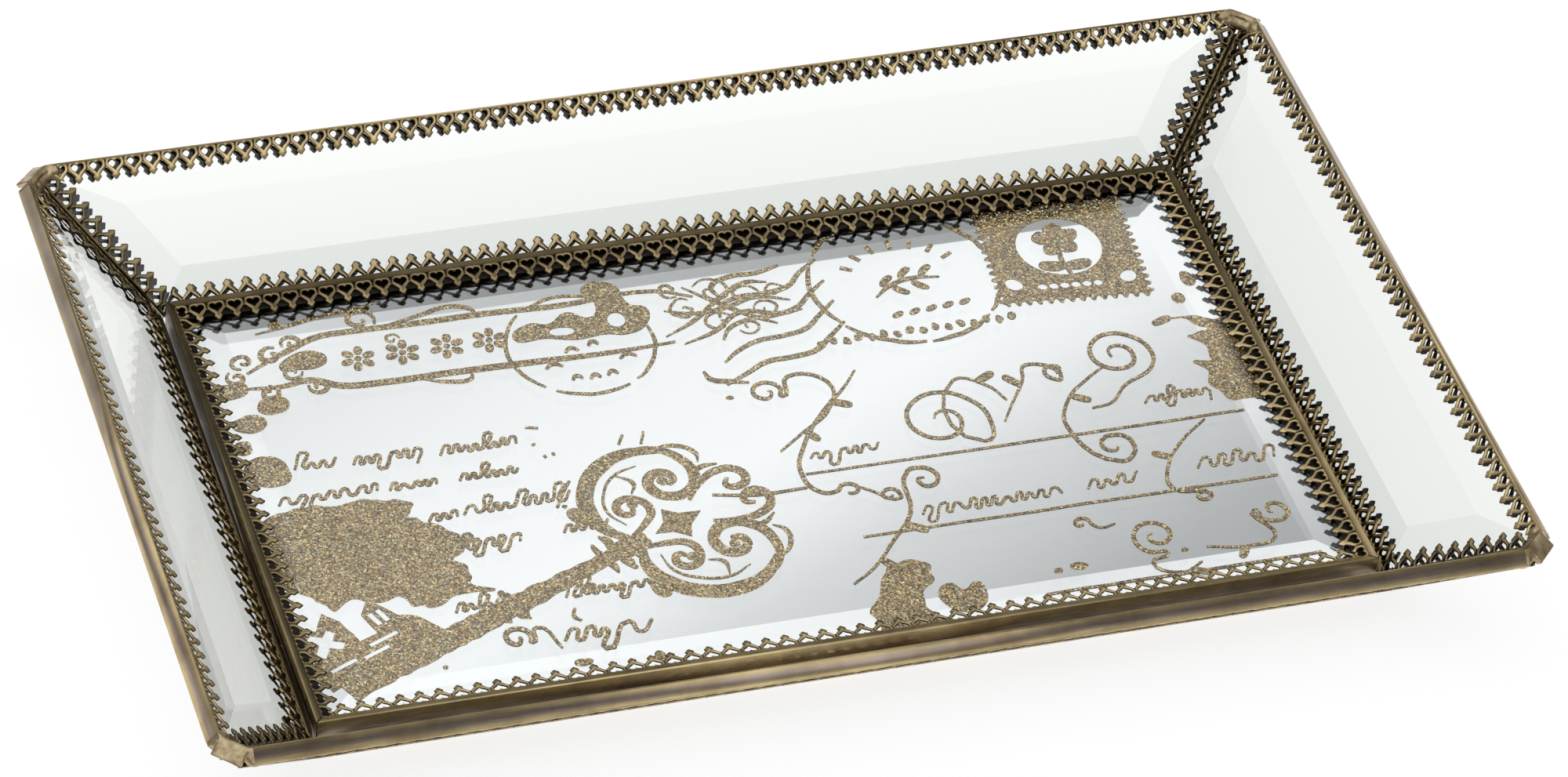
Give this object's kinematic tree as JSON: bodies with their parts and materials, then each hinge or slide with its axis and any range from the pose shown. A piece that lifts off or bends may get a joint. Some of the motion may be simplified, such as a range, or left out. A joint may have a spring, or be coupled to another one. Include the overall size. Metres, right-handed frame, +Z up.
{
  "type": "dresser vanity tray",
  "caption": "Rectangular vanity tray with a mirrored floor and sloping bevelled glass walls, all edged in toothed brass gallery channel and joined with solder.",
  "frame": {"origin": "on the surface that the tray stands on, under the middle of its floor", "axes": "+X along the tray's long way, -Y towards its front, +Z up"},
  "size_m": [0.363, 0.241, 0.0404],
  "materials": {
    "antique_brass": "aged, with dark brown recesses, bright golden edges and a faint mauve tint on the smooth bands",
    "brassed_solder": "smooth solder plated and aged like the brass",
    "clear_glass": "polished, with wide polished bevels and a faint green edge",
    "mirror_silver": "bright silvering behind the glass",
    "gold_glitter": "champagne and old-gold glitter",
    "backing_board": "dense dark fibre board",
    "black_felt": "short felt",
    "pad_rubber": "matt"
  },
  "bodies": {
    "root": {"wall_glass_front": "clear_glass", "wall_glass_back": "clear_glass", "wall_glass_left": "clear_glass", "wall_glass_right": "clear_glass", "rim_channel_front": "antique_brass", "rim_channel_back": "antique_brass", "rim_channel_left": "antique_brass", "rim_channel_right": "antique_brass", "foot_channel_front": "antique_brass", "foot_channel_back": "antique_brass", "foot_channel_left": "antique_brass", "foot_channel_right": "antique_brass", "seam_channel_back_at_back_right": "antique_brass", "seam_channel_right_at_back_right": "antique_brass", "seam_channel_right_at_front_right": "antique_brass", "seam_channel_front_at_front_right": "antique_brass", "seam_channel_front_at_front_left": "antique_brass", "seam_channel_left_at_front_left": "antique_brass", "seam_channel_left_at_back_left": "antique_brass", "seam_channel_back_at_back_left": "antique_brass", "floor_channel_front": "antique_brass", "floor_channel_back": "antique_brass", "floor_channel_left": "antique_brass", "floor_channel_right": "antique_brass", "rim_corner_solder_back_right": "brassed_solder", "rim_corner_solder_front_right": "brassed_solder", "rim_corner_solder_front_left": "brassed_solder", "rim_corner_solder_back_left": "brassed_solder", "seam_solder_back_right": "brassed_solder", "seam_solder_front_right": "brassed_solder", "seam_solder_front_left": "brassed_solder", "seam_solder_back_left": "brassed_solder", "foot_solder_front": "brassed_solder", "foot_solder_back": "brassed_solder", "foot_solder_left": "brassed_solder", "foot_solder_right": "brassed_solder", "mirror_glass": "clear_glass", "mirror_silvering": "mirror_silver", "glitter_sheet": "gold_glitter", "backing_board": "backing_board", "felt_underside": "black_felt", "pad_front_left": "pad_rubber", "pad_front_right": "pad_rubber", "pad_back_left": "pad_rubber", "pad_back_right": "pad_rubber"}
  },
  "joints": []
}
